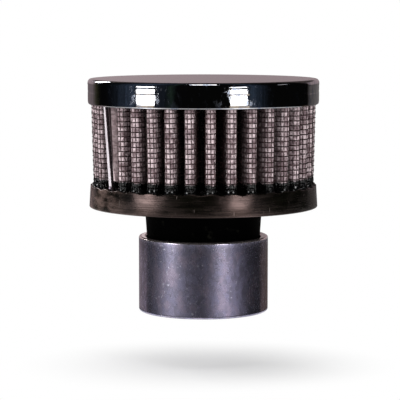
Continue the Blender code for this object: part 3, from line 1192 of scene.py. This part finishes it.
@dataclass(frozen=True)
class EndCap:
    """Pressed cap: flat top, rounded corner, and a skirt with its edge turned in."""

    radius: float
    top: float
    bottom: float
    sheet: float = 0.6 * MM
    corner: float = 1.5 * MM
    corner_reach: float = 0.95 * MM
    hem: float = 0.7 * MM
    hem_lip: float = 0.15 * MM
    step: float = 0.07 * MM
    step_height: float = 0.5 * MM
    guard: float = 0.12 * MM
    groove: float = 2.0 * MM
    groove_height: float = 0.46 * MM
    groove_sink: float = 0.055 * MM
    groove_ease: float = 0.07 * MM

    def crease(self, skirt: float, start: float) -> list[list[float]]:
        """Shallow groove in the skirt: a flank that faces down, then one that faces up.

        Args:
            skirt: Radius of the skirt.
            start: Height of the groove's upper edge.

        Returns:
            The groove's profile points from the top down.
        """
        deep, tall, ease = self.groove_sink, self.groove_height, self.groove_ease
        slope = deep / tall
        return [
            [skirt, start + self.guard],
            [skirt, start],
            [skirt - slope * ease, start - ease],
            [skirt - deep + slope * ease, start - tall + ease],
            [skirt - deep, start - tall],
            [skirt, start - 2 * tall],
            [skirt, start - 2 * tall - self.guard],
        ]

    def build(self, material: Material) -> None:
        """Turns the cap's profile round the axis.

        The corner is drawn in towards the skirt. Close rings beside the flat top and the skirt
        keep their shading flat. The skirt steps in a little under the corner and again above the
        hem, which draws two dark lines, and has a shallow groove between them.

        Args:
            material: The cap's finish.
        """
        bore = self.radius - self.sheet
        skirt = self.radius - self.step
        corner = (self.radius - self.corner, self.top - self.corner)
        crown = arc(corner, self.corner, 90, 0, 16)
        crown[:, 0] = self.radius - (self.radius - crown[:, 0]) * self.corner_reach / self.corner
        hem = (skirt - self.step - self.hem, self.bottom + self.hem)
        high, low = corner[1] - self.step_height, hem[1] + self.step_height
        lip = bore - self.hem_lip
        stretches = [
            [[0.0, self.top], [self.radius * 0.5, self.top]],
            [[crown[0, 0] - self.guard, self.top]],
            crown,
            [[skirt, high], [skirt, high - self.guard]],
            self.crease(skirt, corner[1] - self.groove),
            [[skirt, low + self.guard], [skirt, low]],
            arc(hem, self.hem, 0, -90, 10),
            [[lip, self.bottom + self.hem_lip], [lip, self.bottom + self.hem]],
            [[bore, self.bottom + self.hem + self.hem_lip]],
            arc(corner, self.corner - self.sheet, 0, 90, 6),
            [[0.0, self.top - self.sheet]],
        ]
        turned_piece("cap_shell", stretches, Look(Slot.CHROME, material, "end_cap"), closed=False)


@dataclass(frozen=True)
class RubberBase:
    """Moulding with a tray round the foot of the pleats and a neck that plugs into the sleeve."""

    radius: float
    neck_end: float
    top: float
    pack: FoldedPack
    neck_straight: float
    height: float = 7.4 * MM
    draft: float = 0.4 * MM
    lip_wall: float = 0.55 * MM
    lip_steps: int = 6
    lip_foot: float = 0.2 * MM
    edge: float = 0.3 * MM
    fill_drop: float = 0.5 * MM
    land_drop: float = 1.0 * MM
    land_radius: float = 23.7 * MM
    bore: float = 15.8 * MM
    neck: float = 18.7 * MM
    neck_flare: float = 0.6 * MM
    lead_in: float = 1.0 * MM
    fillet: float = 0.6 * MM
    mouth: float = 1.5 * MM
    scallop: float = 0.5 * MM
    steps_per_fold: int = 8

    def build(self, tray: Material, neck: Material) -> None:
        """Turns the profile. The rim dips between folds by one cosine wave for each fold.

        Args:
            tray: Finish of the tray.
            neck: Darker finish of everything below the tray, painted shade.
        """
        bottom = self.top - self.height
        root = self.neck + self.neck_flare + self.fillet
        rim = self.radius - self.draft
        lip = self.lip_wall / 2
        fill = self.top - self.fill_drop
        land = self.top - self.land_drop
        outside = np.concatenate(
            [
                [[self.bore, self.neck_end], [self.neck - self.lead_in, self.neck_end]],
                [[self.neck, self.neck_end + self.lead_in], [self.neck, self.neck_straight]],
                arc((root, bottom - self.fillet), self.fillet, 180, 90, 5),
                arc((self.radius - self.edge, bottom + self.edge), self.edge, -90, 0, 4),
                [[self.radius - self.draft / 2, (bottom + self.top) / 2]],
            ]
        )
        inside = np.concatenate(
            [
                [[rim - 2 * lip - self.lip_foot, fill], [self.land_radius + self.edge, fill]],
                [[self.land_radius - self.edge, land]],
                arc((self.bore + self.mouth, land - self.mouth), self.mouth, 90, 180, 6),
            ]
        )
        lip_top = arc((rim - lip, self.top - lip), lip, 0, 180, self.lip_steps)
        segments = self.steps_per_fold * self.pack.folds
        angle = np.arange(segments)[:, None] * 2 * math.pi / segments
        wave = 0.5 - 0.5 * np.cos(self.pack.folds * (angle - self.pack.first_root))
        dips = np.repeat([0.0, 1.0, 0.0], [len(outside), len(lip_top), len(inside)])
        lift = -self.scallop * wave * dips
        look, stretches = Look(Slot.RUBBER, tray, "rubber_base"), [outside, lip_top, inside]
        piece = turned_piece("base_moulding", stretches, look, segments, lift=lift)
        up = np.array([0.0, 0.0, 1.0])
        # Faces below the tray get the darker neck rubber: painted shade.
        paint_below(piece, "center", up, bottom + self.edge / 4, neck)


@dataclass(frozen=True)
class Sleeve:
    """Plain tube with its edges broken by a small round."""

    radius: float
    length: float
    wall: float = 2.35 * MM
    edge: float = 0.6 * MM
    guard: float = 0.12 * MM

    def build(self, material: Material) -> None:
        """Turns the tube's rounded section round the axis. Close rings keep its wall flat.

        Args:
            material: The tube's finish.
        """
        e, high = self.edge, self.length - self.edge
        bore, wall = self.radius - self.wall + e, self.radius - e
        stretches = [
            arc((bore, e), e, 180, 270, 5),
            arc((wall, e), e, 270, 360, 5),
            [[self.radius, e + self.guard], [self.radius, high - self.guard]],
            arc((wall, high), e, 0, 90, 5),
            arc((bore, high), e, 90, 180, 5),
        ]
        turned_piece("sleeve_tube", stretches, Look(Slot.SLEEVE, material, "sleeve"))


@dataclass(frozen=True)
class Softbox:
    """One rectangular studio lamp, upright or tilted towards the filter.

    Gloss doesn't see one that isn't mirrored, so the cap's flat top has no lamp's image in it.
    """

    name: str
    azimuth: float
    height: float
    width: float
    tall: float
    radiance: float
    distance: float = 0.6
    tilted: bool = False
    mirrored: bool = True
    aim: float = 60 * MM

    def build(self) -> None:
        """Makes the lamp. Its power is radiance times pi times its area."""
        lamp = bpy.data.lights.new(self.name, "AREA")
        lamp.shape = "RECTANGLE"
        lamp.size, lamp.size_y = self.width, self.tall
        lamp.energy = self.radiance * math.pi * self.width * self.tall
        obj = place_object(self.name, lamp)
        obj.location = Vector(around(math.radians(self.azimuth), self.distance, self.height))
        aim = Vector((0.0, 0.0, self.aim if self.tilted else self.height))
        obj.rotation_euler = (aim - obj.location).to_track_quat("-Z", "Y").to_euler()
        obj.visible_camera = False
        obj.visible_glossy = self.mirrored
        LOG.info("%s: radiance %.1f", self.name, self.radiance)


def step(value: Array, low: Array | float, high: Array | float) -> Array:
    """Smooth step from 0 at low to 1 at high."""
    share = np.clip((value - low) / (high - low), 0, 1)
    return share * share * (3 - 2 * share)


def bells(turn: Array, glows: tuple | list) -> Array:
    """Sum of bell curves along an angle, each with a middle, a width and a colour."""
    turn = turn[..., None]
    return sum(np.exp(-(((turn - at) / width) ** 2)) * np.array(c) for at, width, c in glows)


@dataclass(frozen=True)
class Studio:
    """White ground, soft lamps, and a dark tent that only reflections see.

    As in the photograph the ground lies below the sleeve's end, so that the shadow lies apart.
    Angles are in degrees, and a pair is where a light starts and where it is full. The wall
    behind ends at 12 degrees up, 21 at its sides, and fades over 3.
    """

    ground_half: float = 4.0
    ground_height: float = -18.6 * MM
    tent_radius: float = 0.65
    ring_height: float = 0.5 * MM
    card_reach: float = 21.6 * MM
    dark: float = 0.003
    back_low: float = 0.18
    back_high: float = 0.37
    back_left: Pair = (128, 143)
    back_right: Pair = (121, 129)
    back_rise: Pair = (4.5, 8)
    right_share: float = 0.6
    right_full: Pair = (129, 160)
    top_slant: Triple = (1.2, 0.95, 1.15)
    wall_end: Triple = (12, 9, 3)
    wall_gap: Pair = (8, 16)
    crown: float = 0.08
    crown_back: Pair = (112, 130)
    mauve: Triple = (1.0, 0.8, 0.84)
    right_mauve: Triple = (1.0, 0.93, 0.91)
    brown: Triple = (1.0, 0.78, 0.76)
    tan: Triple = (0.9, 0.765, 0.612)
    tan_half: float = 9.5
    tan_near: Pair = (0.2, 0.24)
    tan_far: Pair = (0.42, 0.46)
    hoop: Triple = (40 * MM, 85 * MM, 22.3 * MM)
    hoop_light: float = 0.8
    hoop_glow: tuple[float, Triple] = (12.0, (2.0, 2.0, 2.0))
    kickers: tuple[tuple[str, float, Pair], ...] = (
        ("left_kicker", 0.75, (-18.5 * MM, -24.0 * MM)),
        ("right_kicker", 0.28, (24.0 * MM, 18.5 * MM)),
    )
    kicker_place: Triple = (90 * MM, 29 * MM, 46 * MM)
    kicker_tint: Triple = (1.0, 0.86, 0.88)
    gleam_way: float = 0.16
    gleam_height: float = 0.8 * MM
    gleams: tuple[tuple[float, float, Triple], ...] = (
        (-28.0, 16.0, (0.41, 0.4, 0.43)),
        (21.0, 13.5, (0.59, 0.57, 0.63)),
    )
    left_floor: tuple[float, Triple] = (-60, (0.28, 0.2296, 0.238))
    right_floor: tuple[float, Triple] = (62, (0.13, 0.0962, 0.0754))
    streak_least: float = 0.4
    streak_more: float = 1.2
    glows: tuple[tuple[float, float, Triple], ...] = (
        (-66.0, 20.0, (0.045, 0.065, 0.1)),
        (50.0, 9.0, (0.03, 0.045, 0.07)),
        (-131.0, 6.0, (0.03, 0.03, 0.015)),
        (-31.0, 3.0, (0.01, 0.02, 0.012)),
    )
    lamps: tuple[Softbox, ...] = (
        Softbox("left_softbox", -56.9, 0.0875, 0.206, 0.155, 7.2),
        Softbox("right_softbox", 33.7, 0.0875, 0.174, 0.155, 6.8),
        Softbox("left_upper_softbox", -56.9, 0.2925, 0.206, 0.255, 7.2, mirrored=False),
        Softbox("right_upper_softbox", 33.7, 0.2925, 0.174, 0.255, 6.8, mirrored=False),
        Softbox("top_softbox", 1.0, 0.5, 0.2, 0.14, 4.0, 0.35, True),
        Softbox("left_back_softbox", -132.5, 0.3, 0.12, 0.2, 7.5, 0.5, True),
        Softbox("left_back_fill_softbox", -110.0, 0.2, 0.2, 0.2, 9.0, 0.5, True, mirrored=False),
        Softbox("right_high_softbox", 86.0, 0.28, 0.12, 0.05, 0.6, 0.5, True),
    )

    def build(self) -> None:
        """Builds the ground, the world, the cards and the lamps."""
        self.lay_ground()
        bpy.context.scene.world = StudioAir().make()
        self.pitch_tent()
        self.lay_hoop()
        self.lay_gleams()
        self.hang_kickers()
        for lamp in self.lamps:
            lamp.build()

    def lay_ground(self) -> None:
        """Flat square ground."""
        half, low = self.ground_half, self.ground_height
        mesh = bpy.data.meshes.new("ground")
        corners = [(-half, -half, low), (half, -half, low), (half, half, low), (-half, half, low)]
        mesh.from_pydata(corners, [], [(0, 1, 2, 3)])
        mesh.materials.append(WhitePaper().make())
        ground = place_object("ground", mesh)
        ground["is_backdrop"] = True

    def pitch_tent(self) -> None:
        """Half sphere of cards on a ring of cards that lies round the filter's foot.

        They are dark in front, mauve-grey behind, and glow in faint upright streaks by the lamps.
        """
        azimuth = np.linspace(-180, 180, 361)
        ring = np.linspace(self.card_reach, self.tent_radius, 24, endpoint=False)
        dome = np.radians(np.linspace(0, 90, 46))
        turn, out = np.meshgrid(azimuth, np.append(ring, self.tent_radius * np.cos(dome)))
        height = np.append(np.full(len(ring), self.ring_height), self.tent_radius * np.sin(dome))
        rise = np.append(np.zeros(len(ring)), np.degrees(dome))[:, None]
        right_side = (turn > 0)[..., None]

        high = step(rise, *self.back_rise)
        left, right = step(-turn, *self.back_left), step(turn, *self.back_right)
        least = self.right_share
        low = left + right * (least + (1 - least) * step(turn, *self.right_full))
        slant, least, most = self.top_slant
        top = (left + right) * np.clip(1 - slant * np.sin(np.radians(turn)), least, most)
        end, more, soft = self.wall_end
        reach = end + more * step(180 - np.abs(turn), *self.wall_gap)
        fade = step(rise, reach, reach + soft)
        near_lamp = sum(np.abs(turn - lamp.azimuth) < self.tan_half for lamp in self.lamps[:2])
        on_floor = near_lamp * (rise == 0) * step(out, *self.tan_near)
        parts = (
            (self.back_low * low * (1 - high), np.where(right_side, self.right_mauve, self.mauve)),
            (self.back_high * top * high * (1 - fade), self.mauve),
            (self.crown * fade * step(np.abs(turn), *self.crown_back), self.brown),
            (on_floor * (1 - step(out, *self.tan_far)), self.tan),
        )
        light = self.dark + sum(share[..., None] * np.array(colour) for share, colour in parts)
        streaks = np.random.default_rng(5).random(len(azimuth))[None, :, None]
        streaks = self.streak_least + self.streak_more * streaks
        points = around(np.radians(turn), out, height[:, None])
        self.hang("tent", points, light + streaks * bells(turn, self.glows))

    def lay_gleams(self) -> None:
        """Floor cards that follow the sleeve's mirror images, so that it shows upright bands.

        A place is the sleeve's radius along the azimuth of a normal plus a way along twice that
        azimuth, and the light goes by the normal.
        """
        normal, way = np.meshgrid(np.linspace(-89, 89, 179), np.array([0.0, self.gleam_way]))
        points = around(np.radians(normal), self.card_reach, self.gleam_height)
        points = points + around(np.radians(2 * normal), way, 0.0)
        light = self.dark + bells(normal, self.gleams)
        light = light + (normal < self.left_floor[0])[..., None] * np.array(self.left_floor[1])
        light = light + (normal > self.right_floor[0])[..., None] * np.array(self.right_floor[1])
        self.hang("floor_gleams", points, light)

    def hang_kickers(self) -> None:
        """Two small cards behind the base, which only the sleeve's cut upper end mirrors."""
        behind, low, high = self.kicker_place
        for name, light, across in self.kickers:
            card = np.array([[(x, behind, z) for x in across] for z in (low, high)])
            self.hang(name, card, light * np.broadcast_to(self.kicker_tint, card.shape))

    def lay_hoop(self) -> None:
        """Flat white ring below the base, which lights the edges that face down."""
        inner, outer, height = self.hoop
        turn, out = np.meshgrid(np.linspace(-180, 180, 97), np.array([inner, outer]))
        glow = bells(turn, [(lamp.azimuth, *self.hoop_glow) for lamp in self.lamps[:2]])
        self.hang("hoop", around(np.radians(turn), out, height), self.hoop_light + glow)

    @staticmethod
    def hang(name: str, points: Array, light: Array) -> None:
        """Hangs a sheet of cards that only reflections see. Its inner or upper side shines.

        Args:
            name: The sheet's name.
            points: Grid of places, (rows, columns, 3).
            light: Radiance at each place, (rows, columns, 3).
        """
        faces, _, _ = grid_faces(*points.shape[:2], False, False)
        mesh = bpy.data.meshes.new(name)
        mesh.from_pydata(points.reshape(-1, 3).tolist(), [], faces[:, ::-1].tolist())
        rgba = np.concatenate([light, np.ones((*light.shape[:2], 1))], axis=-1)
        attribute = mesh.color_attributes.new("glow", "FLOAT_COLOR", "POINT")
        attribute.data.foreach_set("color", rgba.astype(np.float32).ravel())
        mesh.materials.append(LitCard(f"{name} cards").make())
        sheet = place_object(name, mesh)
        for kind in ("camera", "diffuse", "transmission", "shadow", "volume_scatter"):
            setattr(sheet, f"visible_{kind}", False)
        sheet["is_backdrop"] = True


@dataclass(frozen=True)
class Viewpoint:
    """The photograph's camera."""

    place: Triple = (-1.12 * MM, -606.8 * MM, 99.9 * MM)
    pitch: float = math.radians(-5.97)
    lens: float = 166.2
    sensor: float = 36.0
    clip: Pair = (0.01, 20.0)

    def build(self) -> None:
        """Makes the camera and gives it to the scene."""
        camera = bpy.data.cameras.new("camera")
        camera.lens, camera.sensor_width = self.lens, self.sensor
        camera.clip_start, camera.clip_end = self.clip
        obj = place_object("camera", camera)
        obj.location = self.place
        obj.rotation_euler = (math.pi / 2 + self.pitch, 0.0, 0.0)
        bpy.context.scene.camera = obj


@dataclass(frozen=True)
class BreatherFilter:
    """The whole filter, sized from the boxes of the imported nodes."""

    cloth_sink: float = 0.4 * MM
    cloth_gap: float = 0.2 * MM
    gauze_depths: Pair = (0.22 * MM, 0.6 * MM)
    inner_depths: Pair = (1.2 * MM, 0.3 * MM)
    drop_rise: float = 0.45 * MM
    drop_glue: SeamGlueAndShade = SeamGlueAndShade("pale set glue", "#cdbccb", "#8f7d90", 0.3)

    def build(self) -> None:
        """Builds every sub-assembly and dresses the node that stays."""
        cap_low, cap_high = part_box("end_cap")
        base_low, base_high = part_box("rubber_base")
        gauze_low, gauze_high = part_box("filter_gauze")
        _, sleeve_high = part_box("sleeve")
        pack = FoldedPack(gauze_low.z, gauze_high.z)
        strip, urethane = StripMetal().make(), CastUrethane().make()

        EndCap(cap_high.x, cap_high.z, cap_low.z).build(ChromePlate().make())
        base = RubberBase(base_high.x, base_low.z, base_high.z, pack, sleeve_high.z)
        base.build(BlackRubber().make(), NeckRubber().make())
        Sleeve(sleeve_high.x, sleeve_high.z).build(SatinAluminium().make())

        fill, rim = base.top - base.fill_drop, gauze_high.z - self.cloth_gap
        cloth = WireCloth(pack, fill - self.cloth_sink, rim, CoatedWire().make())
        cloth.weave(upright=False)
        cloth.weave(upright=True)
        gauze = Look(Slot.GAUZE, CottonGauze().make(), "filter_gauze")
        Ply("gauze_sheet", cloth, *self.gauze_depths).build(gauze)
        inner = Look(Slot.WIRE, InnerMesh().make(), "inner_screen")
        Ply("inner_cloth", cloth, *self.inner_depths, levels=3).build(inner)
        RubberFoot(pack, fill).build(urethane)
        seam = SeamStrip(pack)
        seam.build(strip, SeamGlueAndShade().make())
        seam.build_drop(self.drop_glue.make(), base.top + self.drop_rise)
        self.dress("top_seal", Look(Slot.SEAL, urethane))

    @staticmethod
    def dress(node: str, look: Look) -> None:
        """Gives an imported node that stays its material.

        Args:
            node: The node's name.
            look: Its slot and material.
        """
        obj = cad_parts[node]
        obj.data.materials.clear()
        obj.data.materials.append(look.material)
        LOG.info("%s: dressed", node)


def corners() -> list[list[float]]:
    """Lowest and highest corner of the shown object as plain lists."""
    return [list(corner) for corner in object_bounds()]


def main() -> None:
    """Builds the filter, its studio and the camera."""
    logging.basicConfig(level=logging.INFO, format="%(name)s: %(message)s")
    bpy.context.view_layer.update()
    BreatherFilter().build()
    Studio().build()
    Viewpoint().build()
    bpy.context.scene.view_settings.view_transform = "Standard"


if __name__ == "__main__":
    main()
